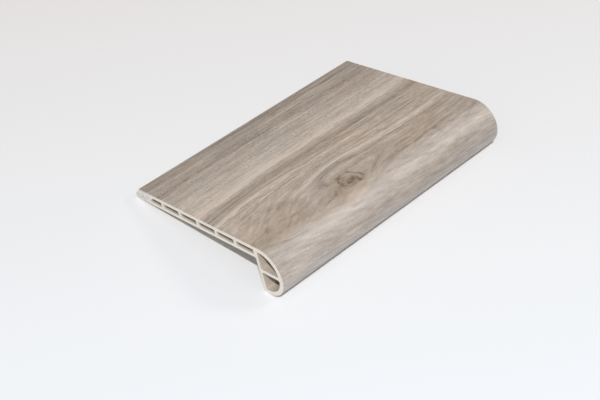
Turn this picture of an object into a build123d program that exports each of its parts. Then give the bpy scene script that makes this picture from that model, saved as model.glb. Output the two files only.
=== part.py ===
from build123d import *

# Flush stair nose moulding: one hollow extruded profile, sawn square at both ends.
#
# The section is drawn with the deck level: x runs from the back lip to the nose and z is up.
# The section's origin is level with the deck's top, straight above the tip of the back lip.
# The sawn piece is then tipped onto the two rounded edges that it rests on, back lip and heel,
# and its origin is put on the floor, under the middle of its box.

import os
from math import asin, atan2, cos, degrees, hypot, radians, sin, sqrt, tan

# Driving dimensions, in millimetres and degrees

length = 153.0  # along the stair's edge, saw cut to saw cut
overall_width = 115.0  # tip of the back lip to the front of the nose
deck_thickness = 6.4  # level with the plank that lies behind it
nose_height = 26.4  # deck top to the underside of the half-round nose
nose_depth = 16.8  # back of the web to the front of the nose

lip_angle = 45.0  # slope of the back lip's bevelled edge
lip_radius = 1.6  # rounded tip of the back lip
lip_solid = 13.2  # tip of the back lip to the foot of the first cell
heel_radius = 2.0  # where the web turns into the underside of the nose
root_radius = 0.8  # inside corner between the deck's underside and the web

top_wall = 2.0  # over the deck's cells
bottom_wall = 1.9  # under the deck's cells
cell_width = 12.95
cell_rib = 1.85  # between the deck's cells
cell_radius = 0.4

web = 2.1  # upright wall behind the nose
web_head = 2.8  # between the last cell of the deck and the nose
nose_wall = 2.4
nose_rib = 2.1  # level rib that parts the nose into two chambers
chamber_radius = 0.7

# Places that follow from them

nose_radius = nose_height / 2
nose_x = overall_width - nose_radius
nose_z = -nose_radius
web_back = overall_width - nose_depth
web_front = web_back + web
cell_height = deck_thickness - top_wall - bottom_wall
cell_z = -top_wall - cell_height / 2

# The bevel and the underside meet in a point that the lip's radius rounds back to x = 0.
lip_corner_x = lip_radius - lip_radius / tan(radians(lip_angle / 2))
lip_top_x = lip_corner_x + deck_thickness / tan(radians(lip_angle))
lip_centre = (lip_radius, lip_radius - deck_thickness)

# The heel's circle lies inside the nose's circle and touches it and the back of the web.
heel_x = web_back + heel_radius
heel_z = nose_z - sqrt((nose_radius - heel_radius) ** 2 - (heel_x - nose_x) ** 2)


def half_round(radius, left):
    """Disc about the centre of the nose, cut off upright at x = left."""
    disc = Pos(nose_x, nose_z) * Circle(radius)
    return disc - Pos(left - radius, nose_z) * Rectangle(2 * radius, 2 * radius)


def round_corners(sketch, radius, corners):
    """The sketch with the vertices nearest to these points rounded."""
    vertices = [sketch.vertices().sort_by_distance(Vector(x, z))[0] for x, z in corners]
    return fillet(vertices, radius)


def outer_outline():
    """Bevelled deck joined to the half-round nose, as one filled outline."""
    deck = Polygon(
        (lip_top_x, 0),
        (lip_corner_x, -deck_thickness),
        (nose_x, -deck_thickness),
        (nose_x, 0),
        align=None,
    )
    outline = deck + half_round(nose_radius, web_back)
    heel_corner_z = nose_z - sqrt(nose_radius**2 - (nose_x - web_back) ** 2)
    outline = round_corners(outline, lip_radius, [(lip_corner_x, -deck_thickness)])
    outline = round_corners(outline, heel_radius, [(web_back, heel_corner_z)])
    return round_corners(outline, root_radius, [(web_back, -deck_thickness)])


def deck_cells():
    """Flat cells of the deck: equal ones stepped back from the web, then a bevelled one at the lip.

    As many equal ones fit as leave the bevelled one at least half their width.
    """
    last_edge = web_front - web_head
    pitch = cell_width + cell_rib
    equal_cells = int((last_edge - lip_solid - cell_width / 2) // pitch)
    cells = [
        Pos(last_edge - step * pitch - cell_width / 2, cell_z)
        * RectangleRounded(cell_width, cell_height, cell_radius)
        for step in range(equal_cells)
    ]
    first_right = last_edge - equal_cells * pitch
    foot = cell_z - cell_height / 2
    head = cell_z + cell_height / 2
    first_head_x = lip_solid + cell_height / tan(radians(lip_angle))
    first = Polygon(
        (lip_solid, foot), (first_right, foot), (first_right, head), (first_head_x, head), align=None
    )
    cells.append(fillet(first.vertices(), cell_radius))
    return cells


def nose_chambers():
    """The two hollows of the nose, over and under its rib.

    Each is drawn smaller by the corner radius and grown back by it, so that its corners come out round.
    """
    inner_radius = nose_radius - nose_wall - chamber_radius
    left = web_front + chamber_radius
    reach = overall_width
    shoulder = Pos(nose_x - reach / 2, nose_z) * Rectangle(reach, 2 * inner_radius)
    hollow = Pos(nose_x, nose_z) * Circle(inner_radius) + shoulder
    chambers = []
    for side in (1, -1):
        rib_face = nose_z + side * (nose_rib / 2 + chamber_radius)
        keep = Pos(left + reach / 2, rib_face + side * reach / 2) * Rectangle(reach, reach)
        chambers.append(offset(hollow & keep, chamber_radius))
    return chambers


def tilt_onto(centre, radius):
    """Tilt, in radians, of a floor that touches the lip's circle and this circle from below."""
    across = centre[0] - lip_centre[0]
    down = centre[1] - lip_centre[1]
    return asin((radius - lip_radius) / hypot(across, down)) - atan2(down, across)


def resting_tilt():
    """The nose lands on its half-round if that reaches far enough back, and otherwise on its heel."""
    half_round_end = atan2(nose_x - heel_x, nose_z - heel_z)
    on_half_round = tilt_onto((nose_x, nose_z), nose_radius)
    if on_half_round <= half_round_end:
        return on_half_round
    return tilt_onto((heel_x, heel_z), heel_radius)


def set_down(solid):
    """Tip the level piece onto the floor, with the origin under the middle of its box."""
    tilt = resting_tilt()
    lip_x = lip_centre[0] * cos(tilt) - lip_centre[1] * sin(tilt)
    lip_z = lip_centre[0] * sin(tilt) + lip_centre[1] * cos(tilt)
    front_x = nose_x * cos(tilt) - nose_z * sin(tilt) + nose_radius
    middle_x = (lip_x - lip_radius + front_x) / 2
    floor_z = lip_z - lip_radius
    return Pos(-middle_x, 0, -floor_z) * Rot(0, -degrees(tilt), 0) * solid


section = outer_outline()
for hollow in deck_cells() + nose_chambers():
    section -= hollow
moulding = set_down(extrude(Plane.XZ * section, amount=length / 2, both=True))

os.makedirs("parts", exist_ok=True)
export_step(moulding, "parts/stair_nose_moulding.step")
print("tilt at rest", round(degrees(resting_tilt()), 3), "volume", round(moulding.volume))
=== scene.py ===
from collections import namedtuple
from math import asin, atan2, cos, degrees, hypot, radians, sin, sqrt, tan

import bpy
import numpy as np
from mathutils import Matrix, Vector
from mathutils.geometry import delaunay_2d_cdt


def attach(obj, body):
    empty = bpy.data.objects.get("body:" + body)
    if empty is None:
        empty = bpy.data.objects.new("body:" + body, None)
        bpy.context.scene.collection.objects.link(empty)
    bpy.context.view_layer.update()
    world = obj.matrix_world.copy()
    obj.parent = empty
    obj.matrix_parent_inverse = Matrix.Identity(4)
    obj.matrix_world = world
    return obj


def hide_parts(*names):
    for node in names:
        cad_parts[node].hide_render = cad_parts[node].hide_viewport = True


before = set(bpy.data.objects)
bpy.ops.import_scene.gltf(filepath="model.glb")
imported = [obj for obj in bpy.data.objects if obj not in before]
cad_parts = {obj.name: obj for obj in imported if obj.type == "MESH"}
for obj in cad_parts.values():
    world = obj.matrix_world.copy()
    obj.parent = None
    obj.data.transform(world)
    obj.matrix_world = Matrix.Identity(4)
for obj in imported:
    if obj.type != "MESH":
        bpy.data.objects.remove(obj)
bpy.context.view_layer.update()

NODE = "stair_nose_moulding"
MM = 0.001

# Section of the moulding, in millimetres, drawn with the deck level as in the part's source

length = 153.0
overall_width = 115.0
deck_thickness = 6.4
nose_height = 26.4
nose_depth = 16.8
lip_angle = 45.0
lip_radius = 1.6
lip_solid = 13.2
heel_radius = 2.0
root_radius = 0.8
top_wall = 2.0
bottom_wall = 1.9
cell_width = 12.95
cell_rib = 1.85
cell_radius = 0.4
web = 2.1
web_head = 2.8
nose_wall = 2.4
nose_rib = 2.1
chamber_radius = 0.7

nose_radius = nose_height / 2
nose_x = overall_width - nose_radius
nose_z = -nose_radius
web_back = overall_width - nose_depth
web_front = web_back + web
lip_corner_x = lip_radius - lip_radius / tan(radians(lip_angle / 2))
lip_top_x = lip_corner_x + deck_thickness / tan(radians(lip_angle))
lip_x = lip_radius
lip_z = lip_radius - deck_thickness
heel_x = web_back + heel_radius
heel_z = nose_z - sqrt((nose_radius - heel_radius) ** 2 - (heel_x - nose_x) ** 2)

# How the piece lies: tipped onto its lip and heel, with the origin on the floor under its middle

heel_out = heel_x - lip_x
heel_down = heel_z - lip_z
tilt = asin((heel_radius - lip_radius) / hypot(heel_out, heel_down)) - atan2(heel_down, heel_out)
back_x = lip_x * cos(tilt) - lip_z * sin(tilt) - lip_radius
front_x = nose_x * cos(tilt) - nose_z * sin(tilt) + nose_radius
middle_x = (back_x + front_x) / 2
floor_z = lip_x * sin(tilt) + lip_z * cos(tilt) - lip_radius

# Fineness of the mesh, in millimetres

print_step = 0.35  # across the printed face
plain_step = 4.0  # across flat faces with no print
arc_step = 0.35  # along small arcs
knot_step = 0.6  # along the piece, beside the knot
swept_step = 0.9  # where the grain sweeps round the knot
along_step = 1.6  # along the piece elsewhere
hollow_step = 25.0  # along the piece, inside the hollows
saw_edge = 0.12  # broken edge round the sawn ends
top_edge = 0.2  # broken edge between the print and the bevelled lip
print_end_angle = 176.0  # how far round the nose the print is wrapped, from the deck's top
relief_depth = 0.04  # embossed grain
knot_start = 46.0  # from the near end to the stretch beside the knot
knot_end = 82.0
swept_end = 100.0  # from the near end to where the grain runs straight again
same_point = 1e-6  # points of an outline that are closer than this are one
same_corner = 1e-7  # and so are corners of a sawn end
crease_angle = 35.0  # edges that turn by more degrees than this are shaded as edges

ENCLOSED = 1  # a sawn end keeps only the triangles that its rings enclose

# Finishes, in the order in which the mesh holds them

PRINT, IVORY, SAWN, CELL, CHAMBER = range(5)

# Figure of the wood print, in millimetres: across the unrolled print from its back edge,
# and along the piece from its near end
#
# A grain line has the grain's own measure across, and the points (along, across) that it runs through.

Line = namedtuple("Line", "grain path")
Streak = namedtuple("Streak", "grain half tone start end")
Patch = namedtuple("Patch", "across along half_across half_along tone")
Stroke = namedtuple("Stroke", "half tone path")
Band = namedtuple("Band", "across half tone")
Mottle = namedtuple("Mottle", "strength across along slant seed")

grain_lines = [
    Line(0, [(0, 0), (153, 0)]),
    Line(38, [(0, 39), (40, 38), (153, 38)]),
    Line(45.5, [(0, 49), (20, 48), (40, 47), (60, 46.4), (90, 46.4), (120, 46.4), (153, 43.8)]),
    Line(53.5, [(0, 59), (10, 57.6), (20, 56.6), (45, 54), (60, 53.6), (80, 54.2), (95, 55.2), (153, 55.4)]),
    Line(62.5, [(0, 65.6), (5, 64.6), (12, 63.2), (20, 62), (30, 61.2), (40, 61), (50, 61.5), (60, 63),
                (77, 63.5), (85, 63.5), (95, 64.5), (105, 65.5), (125, 66), (153, 66.5)]),
    Line(67, [(0, 71), (15, 70), (30, 68.3), (45, 67.4), (60, 67), (80, 67.6), (97, 68.5), (110, 69.2),
              (125, 69), (153, 68.4)]),
    Line(71, [(0, 79), (10, 78.3), (20, 77.6), (30, 76.8), (42, 75.5), (47, 74.4), (57, 71.9), (62, 71.2),
              (72, 70.8), (82, 71), (97, 71.5), (153, 72.6)]),
    Line(75, [(0, 86), (10, 84), (20, 82), (30, 80.3), (42, 79.2), (51, 77.6), (61.5, 75), (69.5, 74.2),
              (77, 73.9), (83, 75), (92, 76.2), (105, 77.6), (118, 78.6), (130, 78.5), (153, 77.2)]),
    Line(80, [(0, 93.4), (10, 91.2), (20, 88.2), (30, 85.2), (37, 83.2), (42, 82), (50, 80.2), (56, 78),
              (60, 76.9), (64, 76.9), (70, 77.6), (79, 79.2), (95, 81.6), (105, 83), (125, 84.5),
              (153, 84.5)]),
    Line(84, [(0, 94.4), (8, 97.4), (16, 99.8), (30, 101.6), (45, 102.6), (54, 104), (61.5, 103.4),
              (68, 100.6), (75.5, 96.8), (82, 92.4), (88, 88.8), (92, 87.4), (95, 87), (153, 87)]),
    Line(97, [(0, 99.5), (15, 103), (30, 105), (45, 106.4), (56, 107.4), (70, 104.6), (80, 101.4),
              (90, 99.2), (153, 97)]),
    Line(108, [(0, 104), (20, 107), (45, 110.4), (60, 110.6), (70, 109.6), (80, 108.8), (153, 108.5)]),
    Line(118, [(0, 112.5), (20, 115), (45, 118.6), (60, 118.8), (80, 118), (153, 118)]),
    Line(150, [(0, 150), (153, 150)]),
]
eye_left = 8  # the two grain lines that part round the knot
eye_right = 9
line_ease = 4.0  # how far along the corners of a grain line are eased
ease_samples = 9

# Streaks follow the grain: middle and half width in the grain's measure, tone, and stretch along.

streaks = [
    Streak(3.0, 6.0, -0.13, -30, 190),
    Streak(14.6, 3.6, -0.11, -30, 190),
    Streak(5.5, 0.8, -0.17, 84, 170),
    Streak(5.8, 0.8, -0.15, -30, 26),
    Streak(2.8, 0.8, -0.10, 52, 126),
    Streak(4.1, 0.6, 0.07, 84, 108),
    Streak(9.9, 0.8, 0.11, 74, 102),
    Streak(8.6, 1.0, 0.10, -30, 46),
    Streak(7.3, 0.9, 0.07, 108, 142),
    Streak(12.2, 0.8, -0.08, 48, 88),
    Streak(14.6, 0.6, -0.08, -30, 20),
    Streak(16.7, 0.8, -0.18, -30, 44),
    Streak(17.4, 0.8, -0.16, 40, 92),
    Streak(17.5, 0.7, -0.13, 104, 190),
    Streak(19.0, 0.6, 0.11, 28, 64),
    Streak(20.9, 0.7, -0.10, 54, 78),
    Streak(22.5, 0.6, 0.24, 72, 102),
    Streak(22.3, 0.7, 0.07, 102, 130),
    Streak(26.8, 0.6, -0.10, 5, 15),
    Streak(29.0, 0.6, -0.09, 6, 21),
    Streak(31.2, 0.5, 0.08, 16, 26),
    Streak(36.5, 0.7, -0.11, 6, 14),
    Streak(35.6, 0.6, -0.09, 19, 29),
    Streak(33.0, 0.6, 0.11, 106, 160),
    Streak(40.4, 0.6, -0.09, 98, 118),
    Streak(37.0, 8.0, 0.14, -30, 190),
    Streak(45.7, 3.3, 0.28, -30, 190),
    Streak(44.8, 1.4, 0.07, 85, 128),
    Streak(46.2, 1.4, 0.08, 30, 62),
    Streak(42.0, 0.7, 0.06, -30, 15),
    Streak(48.6, 0.5, -0.07, 14, 40),
    Streak(53.6, 3.2, -0.15, -30, 88),
    Streak(53.4, 2.6, -0.09, 88, 190),
    Streak(53.5, 0.8, -0.13, 92, 170),
    Streak(52.2, 1.0, -0.11, 38, 70),
    Streak(54.4, 0.9, -0.10, -10, 34),
    Streak(55.5, 0.6, 0.10, 74, 108),
    Streak(58.2, 0.6, -0.10, 103, 127),
    Streak(57.0, 0.5, -0.06, 126, 160),
    Streak(58.6, 0.4, 0.12, 40, 60),
    Streak(60.0, 0.4, -0.11, 40, 58),
    Streak(60.9, 0.4, 0.08, 42, 57),
    Streak(61.8, 0.4, -0.11, 117, 132),
    Streak(62.5, 1.0, 0.18, -30, 106),
    Streak(62.8, 1.8, 0.16, -30, 38),
    Streak(64.8, 0.5, -0.08, 36, 56),
    Streak(65.6, 0.5, 0.06, 104, 150),
    Streak(66.9, 0.55, -0.17, 76, 144),
    Streak(66.8, 0.5, -0.14, 38, 56),
    Streak(67.9, 0.3, -0.12, 36, 52),
    Streak(67.4, 0.3, 0.10, 36, 56),
    Streak(69.6, 0.6, 0.15, 72, 103),
    Streak(68.2, 0.5, -0.06, 70, 96),
    Streak(70.8, 0.5, -0.10, 76, 100),
    Streak(71.4, 0.5, 0.07, 110, 128),
    Streak(70.1, 0.35, -0.13, 44, 65),
    Streak(70.6, 0.35, 0.10, 42, 64),
    Streak(71.1, 0.4, -0.17, 40, 66),
    Streak(72.2, 0.6, 0.10, 42, 62),
    Streak(75.0, 1.5, 0.20, 38, 190),
    Streak(74.8, 0.9, 0.10, 54, 128),
    Streak(77.2, 0.8, 0.07, 84, 108),
    Streak(73.0, 0.6, -0.06, 84, 120),
    Streak(78.2, 0.6, -0.06, 100, 150),
    Streak(77.6, 0.6, -0.06, 82, 110),
    Streak(95.0, 3.0, -0.06, 84, 190),
    Streak(72.0, 9.0, 0.05, -30, 190),
    Streak(106.5, 4.0, 0.08, -30, 190),
    Streak(108.2, 2.6, 0.05, 78, 160),
    Streak(104.0, 0.8, -0.05, 90, 150),
    Streak(117.0, 7.0, -0.10, -30, 190),
]

# Strokes are drawn across the streaks: half width, tone, and the points (across, along) that they join.

strokes = [
    Stroke(0.7, -0.26, [(87.2, 68.0), (89.5, 69.1), (92.0, 70.0), (94.6, 70.9), (97.0, 70.4), (98.6, 68.4)]),
    Stroke(0.7, -0.16, [(93.6, 70.7), (95.6, 71.0)]),
    Stroke(0.8, -0.32, [(87.2, 68.2), (86.7, 64.4), (87.8, 60.8)]),
    Stroke(0.7, -0.42, [(93.0, 66.6), (94.5, 67.3), (96.6, 67.3), (98.4, 66.6)]),
    Stroke(0.9, -0.20, [(98.4, 66.6), (98.9, 68.2)]),
    Stroke(1.5, -0.22, [(92.2, 66.0), (93.6, 63.6), (94.6, 62.2)]),
    Stroke(1.0, -0.50, [(94.7, 65.2), (95.8, 63.8), (96.1, 62.6), (95.5, 61.2)]),
    Stroke(0.7, -0.36, [(88.8, 62.0), (89.6, 60.4), (91.2, 59.2)]),
    Stroke(0.6, -0.22, [(91.2, 59.2), (94.0, 58.0), (97.4, 57.4)]),
    Stroke(0.6, -0.34, [(91.2, 61.6), (92.4, 60.0), (94.4, 58.9), (96.0, 58.7)]),
    Stroke(0.5, -0.20, [(90.0, 63.8), (91.0, 62.0)]),
    Stroke(0.7, -0.24, [(98.7, 64.0), (98.7, 61.0), (97.4, 59.2)]),
    Stroke(0.5, -0.18, [(97.0, 66.0), (97.8, 64.0)]),
    Stroke(0.5, 0.12, [(89.4, 67.8), (92.0, 68.6), (95.0, 69.2)]),
    Stroke(0.5, 0.14, [(90.4, 61.2), (91.8, 60.0)]),
    Stroke(0.5, 0.14, [(93.4, 61.6), (95.0, 60.2)]),
    Stroke(0.5, 0.12, [(96.8, 61.4), (96.6, 60.0)]),
    Stroke(0.8, -0.18, [(94.4, 53.6), (96.4, 52.2), (97.8, 50.6)]),
    Stroke(0.7, -0.18, [(98.8, 53.4), (97.8, 50.4), (96.8, 48.4)]),
    Stroke(0.8, -0.14, [(93.4, 56.6), (95.6, 55.2), (97.6, 54.6)]),
    Stroke(0.9, -0.12, [(99.6, 50.6), (98.8, 46.0), (98.6, 42.0)]),
    Stroke(1.7, -0.22, [(79.6, 80.0), (78.6, 75.0), (77.8, 70.0), (77.6, 65.0), (78.0, 60.4), (79.4, 57.2)]),
    Stroke(2.2, -0.14, [(80.4, 55.8), (83.4, 53.8), (85.6, 53.2)]),
    Stroke(1.5, -0.11, [(87.2, 62.0), (87.8, 57.4), (87.2, 53.6)]),
    Stroke(0.8, -0.12, [(83.0, 53.6), (85.4, 51.0)]),
    Stroke(1.8, -0.07, [(84.6, 54.4), (87.4, 52.2)]),
    Stroke(1.6, 0.17, [(82.0, 78.0), (81.6, 71.0), (82.0, 64.0), (83.2, 59.0), (84.4, 56.8)]),
    Stroke(0.7, -0.09, [(85.0, 79.5), (85.2, 75.5)]),
    Stroke(0.8, -0.10, [(85.0, 70.2), (86.0, 69.0)]),
    Stroke(1.4, 0.10, [(89.0, 66.6), (91.0, 66.0)]),
    Stroke(1.9, 0.11, [(88.5, 84.0), (89.0, 78.0), (89.5, 71.8)]),
    Stroke(1.3, -0.10, [(91.5, 87.0), (93.0, 84.0), (95.0, 80.0), (98.0, 76.0)]),
    Stroke(0.6, -0.12, [(86.6, 91.0), (88.0, 88.4), (89.6, 85.6)]),
    Stroke(0.6, 0.09, [(86.0, 92.0), (88.0, 88.0), (91.0, 83.5)]),
    Stroke(0.6, 0.09, [(95.0, 77.0), (99.0, 72.0), (102.0, 68.0)]),
    Stroke(0.8, 0.10, [(93.5, 91.0), (96.0, 85.0), (99.0, 77.5), (101.0, 73.0), (104.0, 66.0),
                       (107.0, 56.0)]),
    Stroke(0.8, -0.40, [(97.7, 122.0), (98.3, 120.2)]),
    Stroke(0.6, -0.26, [(97.6, 152.8), (98.6, 149.4)]),
    Stroke(0.8, -0.26, [(96.4, 116.4), (97.2, 111.0), (98.0, 106.4)]),
    Stroke(0.7, -0.17, [(99.0, 121.8), (101.4, 121.0), (103.0, 120.2)]),
    Stroke(0.6, -0.12, [(100.0, 150.0), (102.0, 144.0), (104.2, 137.6)]),
    Stroke(0.9, -0.14, [(91.2, 107.0), (91.6, 99.5)]),
    Stroke(1.3, -0.13, [(96.6, 100.0), (96.8, 84.0)]),
    Stroke(0.6, -0.20, [(84.6, 146.0), (84.8, 139.0), (84.4, 132.0)]),
    Stroke(0.7, -0.19, [(82.6, 142.0), (82.2, 136.0), (82.6, 131.0), (85.0, 130.2)]),
    Stroke(0.6, -0.18, [(88.0, 132.6), (88.6, 127.0), (89.2, 121.6)]),
    Stroke(0.5, 0.12, [(85.8, 150.0), (86.4, 141.0)]),
    Stroke(0.5, -0.12, [(86.4, 126.0), (87.2, 120.0)]),
    Stroke(0.9, -0.10, [(91.0, 129.0), (92.8, 124.0)]),
    Stroke(0.7, -0.15, [(92.8, 125.0), (93.2, 119.0)]),
    Stroke(0.8, -0.13, [(89.6, 114.0), (91.4, 111.0)]),
    Stroke(0.6, -0.13, [(92.6, 107.6), (91.6, 103.0), (92.2, 97.0)]),
    Stroke(0.6, -0.20, [(90.4, 152.0), (91.0, 146.0), (91.8, 140.0), (92.6, 136.0)]),
    Stroke(0.5, 0.10, [(92.2, 151.0), (93.0, 142.0)]),
    Stroke(0.6, -0.14, [(94.6, 150.0), (95.4, 143.0)]),
    Stroke(0.7, -0.11, [(97.0, 147.0), (97.8, 139.0)]),
    Stroke(0.6, -0.10, [(100.4, 138.0), (101.0, 130.0)]),
    Stroke(1.1, -0.18, [(88.6, 12.8), (90.4, 12.2)]),
    Stroke(1.3, -0.18, [(78.6, 31.5), (81.2, 27.4)]),
    Stroke(0.7, -0.16, [(76.4, 39.0), (79.6, 33.0)]),
    Stroke(0.6, -0.14, [(81.0, 36.4), (85.4, 32.4), (88.0, 29.2)]),
    Stroke(0.6, -0.13, [(78.0, 25.6), (79.8, 22.0)]),
    Stroke(0.5, -0.12, [(75.4, 27.0), (80.0, 20.6), (85.0, 15.6)]),
    Stroke(0.7, -0.16, [(72.6, 25.5), (73.8, 19.0), (74.2, 14.6)]),
    Stroke(0.6, -0.14, [(71.6, 14.0), (73.0, 7.6), (74.4, 1.5)]),
    Stroke(0.6, -0.12, [(75.4, 11.0), (76.8, 5.5)]),
    Stroke(0.8, -0.13, [(91.0, 40.0), (92.4, 35.0)]),
    Stroke(0.7, -0.11, [(91.6, 29.5), (91.8, 24.0)]),
    Stroke(1.4, 0.11, [(80.5, 46.0), (84.0, 42.6), (88.5, 40.6)]),
    Stroke(1.3, 0.09, [(93.6, 41.5), (95.0, 38.6)]),
    Stroke(1.0, 0.09, [(86.0, 30.0), (86.6, 26.0)]),
    Stroke(1.6, 0.08, [(84.0, 11.0), (84.8, 2.0)]),
    Stroke(0.6, -0.12, [(103.4, 13.0), (100.8, 6.0), (99.0, 1.5)]),
    Stroke(0.6, -0.10, [(115.0, 36.0), (113.6, 22.0), (111.6, 9.0)]),
    Stroke(1.6, 0.07, [(107.5, 50.0), (107.2, 38.0), (105.0, 28.0), (102.5, 21.0)]),
]

# Patches: place, half sizes across and along, and tone; stains are the same, for warmth.

patches = [
    Patch(31.0, 86.0, 2.4, 8.0, -0.09),
    Patch(29.5, 139.0, 4.0, 6.0, -0.06),
    Patch(13.6, 139.0, 2.6, 5.0, -0.06),
    Patch(15.0, 95.0, 2.8, 4.5, -0.08),
    Patch(42.0, 78.0, 1.8, 2.4, -0.07),
    Patch(30.5, 37.0, 3.0, 4.0, -0.06),
    Patch(32.0, 31.0, 2.0, 3.0, 0.06),
    Patch(27.0, 100.0, 4.0, 3.5, 0.05),
    Patch(90.0, 114.0, 3.0, 6.0, -0.05),
    Patch(103.5, 114.0, 2.6, 5.0, 0.09),
    Patch(95.5, 7.0, 3.6, 9.0, -0.13),
    Patch(96.0, 24.0, 3.0, 9.0, -0.07),
    Patch(94.0, 63.6, 6.0, 6.4, -0.17),
    Patch(95.6, 53.6, 5.0, 5.0, -0.11),
    Patch(107.5, 42.0, 5.0, 16.0, 0.10),
    Patch(118.5, 118.0, 7.0, 28.0, -0.14),
    Patch(116.5, 8.0, 6.0, 20.0, 0.14),
    Patch(31.0, 130.0, 7.0, 14.0, -0.09),
    Patch(41.0, 36.0, 4.0, 42.0, 0.10),
    Patch(26.0, 12.0, 9.0, 18.0, 0.05),
    Patch(66.0, 68.0, 2.5, 12.0, -0.10),
    Patch(102.0, 51.0, 2.6, 11.0, -0.14),
    Patch(74.0, 9.0, 8.0, 8.0, 0.09),
    Patch(8.0, 50.0, 3.5, 16.0, -0.08),
    Patch(10.5, 112.0, 2.2, 40.0, -0.06),
    Patch(62.0, 130.0, 2.5, 16.0, -0.10),
    Patch(79.0, 151.0, 6.0, 7.0, -0.10),
    Patch(96.5, 146.0, 3.0, 9.0, 0.10),
    Patch(54.0, 28.0, 2.5, 14.0, 0.06),
    Patch(54.0, 70.0, 2.5, 10.0, 0.06),
    Patch(74.0, 51.0, 2.0, 5.0, 0.10),
    Patch(66.0, 44.0, 2.0, 5.0, 0.10),
    Patch(84.0, 104.0, 4.0, 6.0, 0.08),
    Patch(88.0, 60.0, 3.0, 4.0, -0.09),
    Patch(106.0, 53.0, 2.2, 5.0, 0.10),
    Patch(110.0, 12.0, 3.0, 5.0, 0.09),
    Patch(62.0, 84.0, 2.0, 5.0, -0.08),
    Patch(38.0, 62.0, 4.0, 8.0, 0.05),
    Patch(54.5, 127.0, 2.0, 7.0, -0.07),
    Patch(70.0, 145.0, 3.0, 8.0, -0.06),
    Patch(4.0, 120.0, 4.0, 16.0, 0.05),
    Patch(20.0, 150.0, 8.0, 5.0, -0.06),
    Patch(106.0, 76.0, 3.0, 7.0, 0.04),
    Patch(109.0, 64.0, 2.4, 12.0, -0.04),
    Patch(114.0, 138.0, 2.5, 12.0, 0.08),
    Patch(46.0, 24.0, 2.5, 6.0, 0.10),
    Patch(108.4, 44.0, 1.6, 8.0, -0.06),
]
stains = [
    Patch(89.5, 120.0, 6.0, 16.0, 0.19),
    Patch(94.0, 14.0, 7.0, 16.0, 0.19),
    Patch(94.0, 55.0, 5.0, 6.0, 0.26),
    Patch(90.0, 63.0, 4.0, 4.0, 0.16),
    Patch(54.0, 60.0, 4.0, 50.0, -0.10),
    Patch(28.0, 128.0, 16.0, 30.0, 0.17),
    Patch(103.0, 48.0, 5.0, 14.0, 0.18),
    Patch(66.0, 75.0, 5.0, 30.0, 0.06),
]

# Bands across the print, and spots on it, where the fine grain is livelier or calmer

lively_bands = [Band(68.0, 13.0, 0.35), Band(31.0, 8.0, -0.20), Band(108.0, 3.0, -0.15)]
calm_spots = [
    Patch(94.0, 63.0, 9.0, 12.0, -0.5),
    Patch(103.0, 70.0, 7.0, 25.0, -0.3),
    Patch(82.5, 68.0, 5.0, 13.0, -0.6),
]

# Random mottling: strength, size of its grains across and along, how much they lean across, and seed

fibre_mottles = [
    Mottle(0.075, 1.6, 60, 0, 1),
    Mottle(0.07, 1.05, 26, 0, 2),
    Mottle(0.03, 1.3, 8, 0, 9),
]
fibre_waver = Mottle(0.5, 14, 40, 0, 6)
clouds = Mottle(0.025, 7, 12, 0, 3)
matted_spots = Mottle(0.035, 4.5, 3.5, 0, 16)
loose_spots = Mottle(0.07, 2.2, 4.5, 0, 11)
loose_fibres = Mottle(0.11, 1.9, 9, 0, 12)
nose_spots = Mottle(0.03, 2.5, 5, 0, 13)
nose_grain = Mottle(0.06, 1.2, 9, 0.22, 14)
nose_flecks = Mottle(0.09, 0.9, 5.5, 0.15, 15)
weave_spots = Mottle(1, 6, 5, 0, 4)
warm_clouds = Mottle(0.1, 12, 22, 0, 5)
warm_spots = Mottle(0.1, 5, 5, 0, 17)
stroke_shift_across = Mottle(0.4, 1.3, 1.3, 0, 41)
stroke_shift_along = Mottle(0.4, 1.3, 1.3, 0, 42)
stroke_patchiness = Mottle(0.4, 1.6, 1.6, 0, 43)
emboss_grain = Mottle(0.5, 0.8, 9, 0, 7)
loose_lean = 1.2  # how far the loose fibres turn off the grain

streak_waver = 0.35  # how far a streak strays across
streak_bend = 17.0  # how far along it strays to one side
streak_patch = 9.0  # length of a stronger or weaker piece of it
streak_fade = 6.0  # how far a streak fades to each side of its ends
streak_patchiness = 0.3
streak_edge = 2.4  # power that squares off a streak's sides

plain_tone = 0.655
plain_warmth = 0.56
plain_liveliness = 1.1
plain_weave = 0.5


def bell(x):
    """Bell curve: 1 at 0, falling off to both sides."""
    return np.exp(-(x * x))


def ease(low, high, x):
    """Smooth step from 0 at low to 1 at high."""
    t = np.clip((x - low) / (high - low), 0, 1)
    return t * t * (3 - 2 * t)


def wander(x, y, seed):
    """Smooth random field between -1 and 1, with a new value for each unit of x and of y."""
    size = 256
    table = np.random.default_rng(seed).uniform(-1, 1, (size, size))
    column = np.floor(x).astype(int)
    row = np.floor(y).astype(int)
    share_x = ease(0, 1, x - column)
    share_y = ease(0, 1, y - row)
    column, next_column = column % size, (column + 1) % size
    row, next_row = row % size, (row + 1) % size
    near = table[column, row] * (1 - share_x) + table[next_column, row] * share_x
    far = table[column, next_row] * (1 - share_x) + table[next_column, next_row] * share_x
    return near * (1 - share_y) + far * share_y


def mottle(u, v, kind):
    """Random field in grains of this kind."""
    return kind.strength * wander((u - kind.slant * v) / kind.across, v / kind.along, kind.seed)


def line_places(along):
    """Where every grain line lies across, at these places along the piece, with its corners eased."""
    reach = np.linspace(-line_ease, line_ease, ease_samples)
    weight = 1 + np.cos(np.pi * reach / (line_ease + 1))
    weight /= weight.sum()
    rows = []
    for line in grain_lines:
        v, u = np.array(line.path, float).T
        rows.append(sum(w * np.interp(along + d, v, u) for w, d in zip(weight, reach)))
    return np.array(rows)


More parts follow.
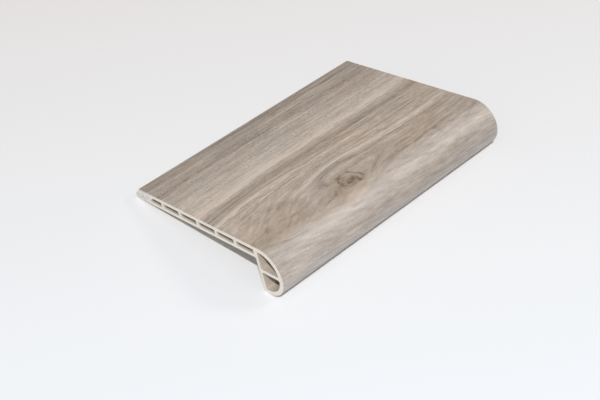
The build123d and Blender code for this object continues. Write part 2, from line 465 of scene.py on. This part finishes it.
def off_stroke(u, v, path):
    """Distance of each point from a stroke's path."""
    nearest = np.full(u.shape, np.inf)
    for (u0, v0), (u1, v1) in zip(path, path[1:]):
        du = u1 - u0
        dv = v1 - v0
        share = np.clip(((u - u0) * du + (v - v0) * dv) / (du * du + dv * dv), 0, 1)
        nearest = np.minimum(nearest, np.hypot(u - u0 - share * du, v - v0 - share * dv))
    return nearest


def in_patch(u, v, patch):
    """Share of a patch at each point."""
    return bell(np.hypot((u - patch.across) / patch.half_across, (v - patch.along) / patch.half_along))


def patch_tone(u, v, places):
    """Tone of all the patches in this list."""
    return sum(patch.tone * in_patch(u, v, patch) for patch in places)


def streak_tone(grain, v):
    """Tone of all the streaks, each wavering and patchy along its way."""
    tone = np.zeros(v.shape)
    for streak in streaks:
        seed = int(streak.grain * 10)
        shift = streak_waver * wander(v / streak_bend, grain / 40, seed)
        out = np.abs(grain - streak.grain + shift) / streak.half
        begun = ease(streak.start - streak_fade, streak.start + streak_fade, v)
        ended = ease(streak.end - streak_fade, streak.end + streak_fade, v)
        patchy = 1 + streak_patchiness * wander(v / streak_patch, grain / 1.5, seed + 1)
        tone += streak.tone * patchy * begun * (1 - ended) * np.exp(-(out**streak_edge))
    return tone


def stroke_tone(u, v):
    """Tone of all the drawn strokes, with rough edges."""
    rough_u = u + mottle(u, v, stroke_shift_across)
    rough_v = v + mottle(u, v, stroke_shift_along)
    drawn = np.zeros(u.shape)
    for stroke in strokes:
        drawn += stroke.tone * bell(off_stroke(rough_u, rough_v, stroke.path) / stroke.half)
    return drawn * (1 + mottle(u, v, stroke_patchiness))


def regions(u, v):
    """Parts of the print whose grain differs, as shares from 0 to 1.

    Matted is the back of the deck, loose the near part beside the nose, soft the pale sweep over the nose,
    which is weaker beyond the knot, and nose the whole half-round.
    """
    matted = ease(6, 16, u) * (1 - ease(38, 46, u))
    loose = ease(64, 74, u) * (1 - ease(97, 103, u)) * (1 - ease(38, 56, v))
    soft = ease(101, 106, u) * (1 - 0.5 * ease(58, 84, v))
    nose = ease(98, 104, u)
    return matted, loose, soft, nose


def liveliness(u, v, loose, soft):
    """Strength of the fine grain: calmer on the nose, on the loose part and about the knot."""
    lively = plain_liveliness + sum(band.tone * bell((u - band.across) / band.half) for band in lively_bands)
    lively -= 0.3 * ease(97, 106, u) + 0.25 * soft
    lively *= 1 - 0.6 * loose
    for spot in calm_spots:
        lively *= 1 + spot.tone * in_patch(u, v, spot)
    return lively


def warm_share(u, v, matted):
    """Share of brown in the print's colour: less on the nose, from an edge that bulges beside the knot."""
    bulge = np.interp(v, [0, 20, 45, 58, 68, 80, 153], [0, 0, 3, 4, 2, -1, 0])
    warmth = plain_warmth + 0.18 * ease(34, 52, u) - 0.46 * ease(97, 106, u - bulge)
    warmth += 0.1 * ease(110, 115, u) - 0.2 * ease(118, 123, u)
    warmth += mottle(u, v, warm_clouds) + matted * mottle(u, v, warm_spots)
    return warmth + patch_tone(u, v, stains)


def figure(across, along):
    """Tone, warmth, fibre measure, liveliness and cross weave of the print, a row for each place along."""
    lines = line_places(along)
    measure = [line.grain for line in grain_lines]
    grain = np.array([np.interp(across, places, measure) for places in lines.T])
    u, v = np.meshgrid(across, along)
    left = lines[eye_left][:, None]
    right = lines[eye_right][:, None]
    in_eye = (u > left) & (u < right)
    fibre = np.where(in_eye, grain_lines[eye_left].grain + u - left, grain) + mottle(u, v, fibre_waver)
    matted, loose, soft, nose = regions(u, v)
    lively = liveliness(u, v, loose, soft)
    # The fibre measure jumps at the right edge of the eye, so the fine grain fades out there.
    lively *= 1 - 0.9 * bell((u - right) / 0.9) * ease(4, 6, right - left)
    tone = plain_tone + streak_tone(grain, v) + stroke_tone(u, v) + patch_tone(u, v, patches)
    tone += lively * sum(mottle(fibre, v, kind) for kind in fibre_mottles) + mottle(u, v, clouds)
    tone += matted * mottle(u, v, matted_spots) + loose * mottle(u, v, loose_spots)
    tone += loose * mottle(loose_lean * u + v, u - loose_lean * v, loose_fibres)
    tone += ease(96, 104, u) * mottle(u, v, nose_spots)
    tone += soft * mottle(u, v, nose_grain) + nose * mottle(u, v, nose_flecks)
    weave = plain_weave - 0.1 * nose + 1.1 * matted * ease(-0.4, 0.7, mottle(u, v, weave_spots))
    return tone, warm_share(u, v, matted), fibre, lively, weave


# Outlines


def arc(centre, radius, start, end, step=arc_step):
    """Points on an arc between two angles in degrees, counted from +x towards +z, both ends included."""
    count = max(2, int(abs(radians(end - start)) * radius / step) + 1)
    angles = np.radians(np.linspace(start, end, count + 1))
    return np.column_stack([centre[0] + radius * np.cos(angles), centre[1] + radius * np.sin(angles)])


def straight(start, end, step):
    """Points on a straight stretch, both ends included."""
    start, end = np.array(start, float), np.array(end, float)
    count = max(1, int(np.linalg.norm(end - start) / step + 0.5))
    return start + np.linspace(0, 1, count + 1)[:, None] * (end - start)


def joined(stretches):
    """One closed loop from stretches that follow each other, each shared point once."""
    points = np.vstack(stretches)
    apart = np.linalg.norm(points - np.roll(points, 1, axis=0), axis=1) > same_point
    return points[apart]


def outer_loop():
    """Outside of the section, clockwise from the print's back edge, and how many points are printed."""
    heel_turn = degrees(atan2(nose_x - heel_x, nose_z - heel_z))
    slope = radians(lip_angle)
    bevel_end = (lip_x - lip_radius * sin(slope), lip_z + lip_radius * cos(slope))
    corner_back = (lip_top_x - top_edge * cos(slope), -top_edge * sin(slope))
    root = (web_back - root_radius, -deck_thickness - root_radius)
    printed = np.vstack(
        [
            straight((lip_top_x + top_edge, 0), (nose_x, 0), print_step),
            arc((nose_x, nose_z), nose_radius, 90, 90 - print_end_angle, print_step)[1:],
        ]
    )
    plain = [
        arc((nose_x, nose_z), nose_radius, 90 - print_end_angle, -90 - heel_turn),
        arc((heel_x, heel_z), heel_radius, -90 - heel_turn, -180),
        straight((web_back, heel_z), (web_back, root[1]), plain_step),
        arc(root, root_radius, 0, 90),
        straight((root[0], -deck_thickness), (lip_x, -deck_thickness), plain_step),
        arc((lip_x, lip_z), lip_radius, 270, 90 + lip_angle),
        straight(bevel_end, corner_back, plain_step),
    ]
    return joined([printed] + plain), len(printed)


def rounded_polygon(corners, radius):
    """Closed loop round these corners, given anticlockwise, with each corner rounded."""
    stretches = []
    for i, corner in enumerate(corners):
        here = np.array(corner, float)
        before = np.array(corners[i - 1], float) - here
        after = np.array(corners[(i + 1) % len(corners)], float) - here
        before /= np.linalg.norm(before)
        after /= np.linalg.norm(after)
        half = 0.5 * np.arccos(np.clip(before @ after, -1, 1))
        centre = here + (before + after) / np.linalg.norm(before + after) * radius / sin(half)
        start = degrees(atan2(-before[0], before[1])) + 180
        sweep = 180 - degrees(2 * half)
        stretches.append(arc(centre, radius, start, start + sweep))
    return joined(stretches)


def cell_loops():
    """Insides of the deck's flat cells."""
    foot = bottom_wall - deck_thickness
    head = -top_wall
    right = web_front - web_head
    loops = []
    while right - cell_width - cell_rib > lip_solid + cell_width / 2:
        left = right - cell_width
        corners = [(left, foot), (right, foot), (right, head), (left, head)]
        loops.append(rounded_polygon(corners, cell_radius))
        right = left - cell_rib
    bevel_x = lip_solid + (head - foot) / tan(radians(lip_angle))
    corners = [(lip_solid, foot), (right, foot), (right, head), (bevel_x, head)]
    loops.append(rounded_polygon(corners, cell_radius))
    return loops


def chamber_loops():
    """Insides of the nose over and under its rib, anticlockwise."""
    inner = nose_radius - nose_wall
    r = chamber_radius
    rib_top = nose_z + nose_rib / 2 + r
    reach = sqrt((inner - r) ** 2 - (nose_rib / 2 + r) ** 2)
    turn = degrees(atan2(nose_rib / 2 + r, reach))
    upper = joined(
        [
            arc((web_front + r, rib_top), r, 180, 270),
            arc((nose_x + reach, rib_top), r, 270, 360 + turn),
            arc((nose_x, nose_z), inner, turn, 90),
            arc((web_front + r, nose_z + inner - r), r, 90, 180),
        ]
    )
    lower = upper[::-1].copy()
    lower[:, 1] = 2 * nose_z - lower[:, 1]
    return [upper, lower]


def side_normals(loop):
    """Unit normals on the left of the way round a loop, with mitred length at corners."""
    forward = np.roll(loop, -1, axis=0) - loop
    forward /= np.linalg.norm(forward, axis=1)[:, None]
    normal = np.column_stack([-forward[:, 1], forward[:, 0]])
    both = normal + np.roll(normal, 1, axis=0)
    both /= np.linalg.norm(both, axis=1)[:, None]
    return both / np.maximum((both * normal).sum(1), 0.5)[:, None]


def way_round(loop):
    """Distance along a closed loop to each of its points, and once more round to the first."""
    steps = np.linalg.norm(np.roll(loop, -1, axis=0) - loop, axis=1)
    return np.concatenate([[0], np.cumsum(steps)])


def to_row(x, y, z):
    """Points of the level section, in millimetres, where the piece lies, in metres."""
    row_x = x * cos(tilt) - z * sin(tilt) - middle_x
    row_z = x * sin(tilt) + z * cos(tilt) - floor_z
    return np.column_stack([row_x, y, row_z]) * MM


def stretch(start, end, step):
    """Evenly spaced places, both ends included."""
    return np.linspace(start, end, max(1, round((end - start) / step)) + 1)


def outside_stations():
    """Places along the outside, from sawn end to sawn end, closer together beside the knot."""
    reach = length / 2 - saw_edge
    stops = [-reach] + [place - length / 2 for place in (knot_start, knot_end, swept_end)] + [reach]
    steps = [swept_step, knot_step, swept_step, along_step]
    stations = [[-length / 2, -reach]]
    for start, end, step in zip(stops, stops[1:], steps):
        stations.append(stretch(start, end, step)[1:])
    return np.concatenate(stations + [[length / 2]])


def hollow_stations():
    """Places along a hollow, from sawn end to sawn end."""
    reach = length / 2 - saw_edge
    return np.concatenate([[-length / 2], stretch(-reach, reach, hollow_step), [length / 2]])


# Layout of the flat map that the finishes are baked to, in millimetres of the map

map_side = 218.0
map_gap = 1.0
print_corner = np.array([1.0, 1.0])
plain_corner = np.array([142.0, 1.0])
plain_scale = 0.47
hollow_corner = np.array([142.0, 80.0])
hollow_scale = 0.2
sawn_corners = np.array([[142.0, 118.0], [142.0, 140.0]])
sawn_scale = 0.64


def map_quads(around, along, corner, scale):
    """Places on the flat map of the quads between these distances around and along."""
    x0, y0 = np.meshgrid(around[:-1], along[:-1])
    x1, y1 = np.meshgrid(around[1:], along[1:])
    corners = [(x0, y0), (x1, y0), (x1, y1), (x0, y1)]
    spots = np.stack([np.stack(each, axis=-1) for each in corners], axis=2)
    return corner + scale * spots


def strip_points(loop, along, inset):
    """Points of an outline repeated along the piece, each set in from the outline by its inset."""
    normal = side_normals(loop)
    x = loop[:, 0] - inset * normal[:, 0]
    y = np.repeat(along[:, None], len(loop), axis=1)
    z = loop[:, 1] - inset * normal[:, 1]
    return np.stack([x, y, z], axis=-1).reshape(-1, 3)


def strip_quads(rows, count, first):
    """Quads between the rows of a closed strip whose points are numbered from first."""
    i = np.arange(count)
    after = (i + 1) % count
    near = first + np.arange(rows - 1)[:, None] * count
    far = near + count
    return np.stack([near + i, near + after, far + after, far + i], axis=2).reshape(-1, 4)


def end_triangles(points, rings, far):
    """Triangles of a sawn end between the outside's ring and the hollows' rings, which stay open."""
    ids = np.concatenate(rings)
    ring_of = np.repeat(np.arange(len(rings)), [len(ring) for ring in rings])
    flat = [Vector(points[k][[0, 2]]) for k in ids]
    edges = []
    for ring in range(len(rings)):
        own = np.flatnonzero(ring_of == ring)
        edges += np.column_stack([own, np.roll(own, -1)]).tolist()
    _, _, found, origins, _, _ = delaunay_2d_cdt(flat, edges, [], ENCLOSED, same_corner)
    source = [names[0] for names in origins]
    triangles = []
    for corners in found:
        corners = [source[k] for k in corners]
        a, b, c = (flat[k] for k in corners)
        in_hollow = ring_of[corners[0]] > 0 and len(set(ring_of[corners])) == 1
        if in_hollow:
            continue
        if ((b - a).cross(c - a) > 0) == far:
            corners.reverse()
        triangles.append(ids[corners])
    return np.array(triangles)


def emboss(tone, fibre, along):
    """Depth of the embossed grain: deeper in dark streaks and between fine fibres."""
    fine = 0.5 + mottle(fibre, along[:, None] + 0 * fibre, emboss_grain)
    return relief_depth * np.clip(0.6 * fine + 0.8 * (plain_tone - tone), 0, 1)


def build_moulding():
    """The closed piece: outside, cells and chambers as strips along it, joined by two sawn ends."""
    outside, printed = outer_loop()
    hollows = [(loop, CELL) for loop in cell_loops()] + [(loop, CHAMBER) for loop in chamber_loops()]
    around = way_round(outside)
    along = outside_stations()
    tone, warmth, fibre, lively, weave = figure(around[:printed] + top_edge, along + length / 2)
    inset = np.zeros((len(along), len(outside)))
    inset[1:-1, 1 : printed - 1] = emboss(tone, fibre, along)[1:-1, 1:-1]
    inset[[0, -1]] = saw_edge
    points = [strip_points(outside, along, inset)]
    faces = strip_quads(len(along), len(outside), 0).tolist()
    row_finish = np.where(np.arange(len(outside)) < printed - 1, PRINT, IVORY)
    outer_finish = np.tile(row_finish, (len(along) - 1, 1))
    outer_finish[[0, -1]] = SAWN
    finishes = [outer_finish.ravel()]
    printed_spots = map_quads(around[:printed], along + length / 2, print_corner, 1)
    plain_around = around[printed - 1 :] - around[printed - 1]
    plain_spots = map_quads(plain_around, along + length / 2, plain_corner, plain_scale)
    spots = [np.concatenate([printed_spots, plain_spots], axis=1).reshape(-1, 2)]
    count = len(points[0])
    rings = ([np.arange(len(outside))], [np.arange(len(outside)) + count - len(outside)])
    hollow_start = 0.0
    hollow_along = hollow_stations()
    for loop, hollow_finish in hollows:
        inset = np.zeros((len(hollow_along), len(loop)))
        inset[[0, -1]] = saw_edge
        points.append(strip_points(loop, hollow_along, inset))
        quads = strip_quads(len(hollow_along), len(loop), count)
        faces += quads.tolist()
        finishes.append(np.full(len(quads), hollow_finish))
        around = way_round(loop) + hollow_start
        spots.append(map_quads(around, hollow_along + length / 2, hollow_corner, hollow_scale).reshape(-1, 2))
        hollow_start = around[-1] + map_gap / hollow_scale
        rings[0].append(np.arange(len(loop)) + count)
        count += len(points[-1])
        rings[1].append(np.arange(len(loop)) + count - len(loop))
    points = np.vstack(points)
    section_low = points[:, [0, 2]].min(axis=0)
    for far in (False, True):
        triangles = end_triangles(points, rings[far], far)
        faces += triangles.tolist()
        finishes.append(np.full(len(triangles), SAWN))
        flat = points[triangles.ravel()][:, [0, 2]] - section_low
        spots.append(sawn_corners[int(far)] + sawn_scale * flat)
    mesh = make_mesh(points, faces, np.concatenate(finishes), np.vstack(spots))
    wanted = {"tone": tone, "warmth": warmth, "fibre": fibre, "lively": lively, "weave": weave}
    wanted["along"] = along[:, None] + 0 * fibre
    add_figure(mesh, wanted, len(outside))
    mesh.update()
    return mesh


def make_mesh(points, faces, finishes, spots):
    """Mesh of the level piece put where it lies, with each face's finish and its place on the flat map."""
    mesh = bpy.data.meshes.new("moulding")
    mesh.from_pydata(to_row(*points.T), [], faces)
    mesh.polygons.foreach_set("material_index", finishes)
    mesh.polygons.foreach_set("use_smooth", np.ones(len(faces), bool))
    mesh.set_sharp_from_angle(angle=radians(crease_angle))
    layer = mesh.uv_layers.new(name="OFBake")
    layer.data.foreach_set("uv", (spots / map_side).ravel())
    return mesh


def add_figure(mesh, wanted, count):
    """Store the figure on the printed points, which come first in each row of this many points."""
    for name, values in wanted.items():
        whole = np.zeros(len(mesh.vertices))
        rows = whole[: len(values) * count].reshape(len(values), count)
        rows[:, : values.shape[1]] = values
        mesh.attributes.new(name, "FLOAT", "POINT").data.foreach_set("value", whole)


# Finishes


def paint(red, green, blue):
    """Linear colour of an sRGB colour given in levels of 255."""
    levels = np.clip(np.array([red, green, blue]) / 255, 0, 1)
    return (*np.where(levels <= 0.04045, levels / 12.92, ((levels + 0.055) / 1.055) ** 2.4), 1.0)


def new_material(name):
    """A new material, its nodes and its shader."""
    material = bpy.data.materials.new(name)
    material.use_nodes = True
    return material, material.node_tree, material.node_tree.nodes["Principled BSDF"]


def feed(tree, source, socket):
    """Link a socket to an input, or set the input to a plain value."""
    if isinstance(source, bpy.types.NodeSocket):
        tree.links.new(source, socket)
    else:
        socket.default_value = source


def sums(tree, operation, first, second):
    """One operation on two sockets or plain values."""
    node = tree.nodes.new("ShaderNodeMath")
    node.operation = operation
    feed(tree, first, node.inputs[0])
    feed(tree, second, node.inputs[1])
    return node.outputs["Value"]


def weighted_sum(tree, terms):
    """Sum of sockets, each times its weight."""
    total = 0.0
    for socket, weight in terms:
        total = sums(tree, "ADD", total, sums(tree, "MULTIPLY", socket, weight))
    return total


def axis(tree, place, name):
    """One axis of a place."""
    node = tree.nodes.new("ShaderNodeSeparateXYZ")
    tree.links.new(place, node.inputs["Vector"])
    return node.outputs[name]


def reach_towards(tree, place, direction):
    """How far a place lies in a direction."""
    node = tree.nodes.new("ShaderNodeVectorMath")
    node.operation = "DOT_PRODUCT"
    node.inputs[1].default_value = direction
    tree.links.new(place, node.inputs[0])
    return node.outputs["Value"]


def stored(tree, name):
    """A value that the mesh stores at its points."""
    node = tree.nodes.new("ShaderNodeAttribute")
    node.attribute_name = name
    return node.outputs["Fac"]


def position(tree):
    """Where a point of the surface lies, in metres."""
    return tree.nodes.new("ShaderNodeNewGeometry").outputs["Position"]


def noise(tree, place, scale, detail):
    """Noise about 0, with this many grains for each unit of the place along each axis."""
    stretched = tree.nodes.new("ShaderNodeVectorMath")
    stretched.operation = "MULTIPLY"
    stretched.inputs[1].default_value = scale
    tree.links.new(place, stretched.inputs[0])
    node = tree.nodes.new("ShaderNodeTexNoise")
    node.inputs["Scale"].default_value = 1.0
    node.inputs["Detail"].default_value = detail
    tree.links.new(stretched.outputs["Vector"], node.inputs["Vector"])
    return sums(tree, "SUBTRACT", node.outputs["Fac"], 0.5)


def spread(tree, value, low, high, to_low, to_high):
    """Value moved from the range low to high into another range, and held to it."""
    node = tree.nodes.new("ShaderNodeMapRange")
    node.inputs["From Min"].default_value = low
    node.inputs["From Max"].default_value = high
    node.inputs["To Min"].default_value = to_low
    node.inputs["To Max"].default_value = to_high
    feed(tree, value, node.inputs["Value"])
    return node.outputs["Result"]


def ramp(tree, value, stops):
    """Colour of a value between 0 and 1, by these stops."""
    node = tree.nodes.new("ShaderNodeValToRGB")
    marks = node.color_ramp.elements
    while len(marks) < len(stops):
        marks.new(0.5)
    for mark, (stop, colour) in zip(marks, stops):
        mark.position = stop
        mark.color = colour
    feed(tree, value, node.inputs["Fac"])
    return node.outputs["Color"]


def blend(tree, share, first, second):
    """First colour, with this share of the second."""
    node = tree.nodes.new("ShaderNodeMix")
    node.data_type = "RGBA"
    feed(tree, share, node.inputs["Factor"])
    feed(tree, first, node.inputs["A"])
    feed(tree, second, node.inputs["B"])
    return node.outputs["Result"]


def bump(tree, height, distance, shader):
    """Bump of this height in millimetres."""
    node = tree.nodes.new("ShaderNodeBump")
    node.inputs["Strength"].default_value = 1.0
    node.inputs["Distance"].default_value = distance * MM
    feed(tree, height, node.inputs["Height"])
    tree.links.new(node.outputs["Normal"], shader.inputs["Normal"])


# Colours of the print: levels of 255, and what the grey and the brown add to them in red, green and blue

darkest_level = 100
lightest_level = 200
grey_tint = (6.0, -0.6, -5.4)
brown_tint = (17.9, 0.0, -17.9)

# Fine grain of the print: grains for each millimetre across and along, detail, and weight in the tone

Grain = namedtuple("Grain", "scale detail weight")
fibre_grain = Grain((1.7, 0.045, 1), 2, 0.62)
thread_grain = Grain((4.0, 0.08, 1), 2, 0.62)
fleck_grain = Grain((1.4, 0.2, 1), 2, 0.48)
cross_grain = Grain((0.45, 1.35, 1), 1, 0.6)
pore_grain = Grain((5.5, 0.3, 1), 1, -0.3)
pore_light = 0.12  # noise at which a pore begins to show
pore_dark = 0.24  # and at which it is as dark as it gets
pore_depth = -0.6  # a pore's share in the bump

# Bumps, in millimetres

print_bump = 0.05
skin_bump = 0.03
saw_bump = 0.04

# Linear colours of the bare plastic, each a darker and a lighter one; the cells' and chambers' colours are
# the plastic darkened by painted shade

skin_colours = ((0.63, 0.555, 0.445, 1), (0.71, 0.63, 0.515, 1))
# Painted shade: the cells' insides, darkened for the shade that fills them
cell_painted_shade_colours = ((0.27, 0.236, 0.187, 1), (0.34, 0.30, 0.243, 1))
# Painted shade: the chambers' insides, darkened for the shade inside the nose
chamber_painted_shade_colours = ((0.45, 0.395, 0.325, 1), (0.55, 0.485, 0.405, 1))
sawn_colours = ((0.75, 0.69, 0.60, 1), (0.815, 0.765, 0.69, 1))
lip_cut_colours = ((0.55, 0.53, 0.495, 1), (0.755, 0.73, 0.685, 1))
# Painted light: the paler colour of a cell's floor near the sawn ends, where light falls in
cell_painted_light = (0.62, 0.56, 0.48, 1)
painted_light_full = 0.3  # how deep in a cell the painted light by the sawn end is full, in millimetres
painted_light_end = 1.6
lip_cut_full = -0.048  # the frame's x, in metres, up to which the lip's cut is grey
lip_cut_end = -0.043


def tone_stops(tint):
    """Colours of the print from its darkest tone to its lightest."""
    stops = []
    for tone in (0.0, 0.25, 0.5, 0.75, 1.0):
        level = darkest_level + tone * (lightest_level - darkest_level)
        stops.append((tone, paint(*(level + shift for shift in tint))))
    return stops


def wood_print():
    """Printed and embossed film: the stored figure, with finer fibres and pores along the same grain."""
    material, tree, shader = new_material("wood_print")
    both_ways = tree.nodes.new("ShaderNodeCombineXYZ")
    feed(tree, stored(tree, "fibre"), both_ways.inputs["X"])
    feed(tree, stored(tree, "along"), both_ways.inputs["Y"])
    place = both_ways.outputs["Vector"]
    kinds = (fibre_grain, thread_grain, fleck_grain, cross_grain, pore_grain)
    fibres, threads, flecks, cross, pores = (noise(tree, place, kind.scale, kind.detail) for kind in kinds)
    dashes = spread(tree, pores, pore_light, pore_dark, 0, 1)
    fine = weighted_sum(
        tree,
        [
            (fibres, fibre_grain.weight),
            (threads, thread_grain.weight),
            (flecks, fleck_grain.weight),
            (dashes, pore_grain.weight),
        ],
    )
    woven = sums(tree, "MULTIPLY", cross, cross_grain.weight)
    figured = [
        (stored(tree, "tone"), 1.0),
        (fine, stored(tree, "lively")),
        (woven, stored(tree, "weave")),
    ]
    tone = weighted_sum(tree, figured)
    grey = ramp(tree, tone, tone_stops(grey_tint))
    brown = ramp(tree, tone, tone_stops(brown_tint))
    tree.links.new(blend(tree, stored(tree, "warmth"), grey, brown), shader.inputs["Base Color"])
    gloss = spread(tree, sums(tree, "ADD", threads, fibres), -0.3, 0.3, 0.52, 0.4)
    tree.links.new(gloss, shader.inputs["Roughness"])
    height = weighted_sum(tree, [(fibres, 1.0), (threads, 1.0), (dashes, pore_depth)])
    bump(tree, height, print_bump, shader)
    return material


def cut_depth(tree, place):
    """Distance of a place from the nearer sawn end, in millimetres."""
    from_middle = sums(tree, "ABSOLUTE", axis(tree, place, "Y"), 0.0)
    return sums(tree, "SUBTRACT", length / 2, sums(tree, "DIVIDE", from_middle, MM))


def ivory_pvc(name, colours, painted_light_colour=None):
    """Extruded skin: faint draw lines along the piece, a slow change of shade, and, if a colour for it is
    given, painted light in the hollows by the sawn ends.
    """
    material, tree, shader = new_material(name)
    place = position(tree)
    lines = noise(tree, place, (900, 9, 900), 3)
    shade = noise(tree, place, (60, 25, 60), 2)
    mixed = weighted_sum(tree, [(lines, 0.6), (shade, 1.0)])
    colour = blend(tree, spread(tree, mixed, -0.35, 0.35, 0, 1), *colours)
    # Painted light: the hollow is paler near the sawn ends, where light falls in, and keeps its own colour
    # deeper in
    if painted_light_colour:
        painted_light_share = spread(tree, cut_depth(tree, place), painted_light_full, painted_light_end, 1, 0)
        colour = blend(tree, painted_light_share, colour, painted_light_colour)
    tree.links.new(colour, shader.inputs["Base Color"])
    tree.links.new(spread(tree, lines, -0.3, 0.3, 0.56, 0.42), shader.inputs["Roughness"])
    bump(tree, lines, skin_bump, shader)
    return material


def sawn_pvc():
    """Sawn end: paler, with fine upright saw marks and a matt, slightly mottled cut, greyer at the lip."""
    material, tree, shader = new_material("sawn_pvc")
    place = position(tree)
    marks = noise(tree, place, (2600, 1, 420), 2)
    specks = noise(tree, place, (500, 500, 500), 3)
    mixed = weighted_sum(tree, [(marks, 0.5), (specks, 1.0)])
    colour = blend(tree, spread(tree, mixed, -0.3, 0.3, 0, 1), *sawn_colours)
    lip_cut = blend(tree, spread(tree, specks, -0.15, 0.15, 0, 1), *lip_cut_colours)
    at_lip = spread(tree, axis(tree, place, "X"), lip_cut_end, lip_cut_full, 0, 1)
    tree.links.new(blend(tree, at_lip, colour, lip_cut), shader.inputs["Base Color"])
    tree.links.new(spread(tree, marks, -0.3, 0.3, 0.78, 0.6), shader.inputs["Roughness"])
    bump(tree, marks, saw_bump, shader)
    return material


# Piece


def add_object(name, data):
    """A new object in the scene."""
    thing = bpy.data.objects.new(name, data)
    bpy.context.collection.objects.link(thing)
    return thing


mesh = build_moulding()
finishes = {
    PRINT: wood_print(),
    IVORY: ivory_pvc("ivory_pvc", skin_colours),
    SAWN: sawn_pvc(),
    # The hollows' finishes carry painted shade, and the cells also painted light by the sawn ends
    CELL: ivory_pvc("cell_pvc_painted_shade_and_light", cell_painted_shade_colours, cell_painted_light),
    CHAMBER: ivory_pvc("chamber_pvc_painted_shade", chamber_painted_shade_colours),
}
for index in sorted(finishes):
    mesh.materials.append(finishes[index])
moulding = add_object("moulding", mesh)
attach(moulding, "root")
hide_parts(NODE)

# Floor

away = (-0.768, 0.64, 0.0)  # level direction from the camera to the object
floor_near = -0.16  # metres away from the origin where the floor has its near colour, and its far one
floor_far = 0.19
near_floor = (0.85, 0.88, 0.912, 1)
far_floor = (0.845, 0.824, 0.817, 1)
floor_reach = 4.0


def floor_paper():
    """Pale paper, cool where it comes towards the camera and a little warmer behind."""
    material, tree, shader = new_material("floor_paper")
    shader.inputs["Roughness"].default_value = 0.8
    shader.inputs["Specular IOR Level"].default_value = 0.2
    share = spread(tree, reach_towards(tree, position(tree), away), floor_near, floor_far, 0, 1)
    tree.links.new(blend(tree, share, near_floor, far_floor), shader.inputs["Base Color"])
    return material


ways = ((-1, -1), (1, -1), (1, 1), (-1, 1))
floor_mesh = bpy.data.meshes.new("floor")
floor_mesh.from_pydata([(x * floor_reach, y * floor_reach, 0) for x, y in ways], [], [(0, 1, 2, 3)])
floor_mesh.materials.append(floor_paper())
floor = add_object("floor", floor_mesh)

# Light

lamp_distance = 3.0


def area_light(name, towards, size, power, colour):
    """A round lamp that faces the origin from this direction."""
    lamp = bpy.data.lights.new(name, "AREA")
    lamp.color = colour
    lamp.shape = "DISK"
    lamp.size = size
    lamp.energy = power
    direction = Vector(towards).normalized()
    holder = add_object(name, lamp)
    holder.location = direction * lamp_distance
    holder.rotation_euler = direction.to_track_quat("Z", "Y").to_euler()


area_light("key", towards=(0.474, -0.378, 0.79), size=0.1, power=68.0, colour=(1.0, 1.0, 1.0))
area_light("back_softbox", towards=(0.48, 0.625, 0.615), size=0.75, power=11.0, colour=(1.0, 0.94, 0.84))

# The room is brighter in front, on the camera's side, than behind.

front = (0.45, -0.89, 0.0)
room_behind = 0.19
room_in_front = 0.48
room_colour = (0.98, 0.98, 1.0, 1)
world = bpy.data.worlds.new("studio")
world.use_nodes = True
room = world.node_tree
sky = room.nodes.new("ShaderNodeTexCoord").outputs["Generated"]
brightness = spread(room, reach_towards(room, sky, front), -1, 1, room_behind, room_in_front)
room.nodes["Background"].inputs["Color"].default_value = room_colour
room.links.new(brightness, room.nodes["Background"].inputs["Strength"])
bpy.context.scene.world = world

# Camera

camera_place = Vector((0.35133, -0.30666, 0.39333))
camera_target = Vector((0.00847, -0.02091, 0.0))
camera_roll = radians(-5.343)
camera_data = bpy.data.cameras.new("camera")
camera_data.sensor_width = 36.0
camera_data.lens = 69.5
camera_data.clip_start = 0.01
camera = add_object("camera", camera_data)
look = (camera_target - camera_place).to_track_quat("-Z", "Y").to_matrix()
turned = look @ Matrix.Rotation(camera_roll, 3, "Z")
camera.matrix_world = Matrix.Translation(camera_place) @ turned.to_4x4()
bpy.context.scene.camera = camera
bpy.context.scene.view_settings.view_transform = "Standard"
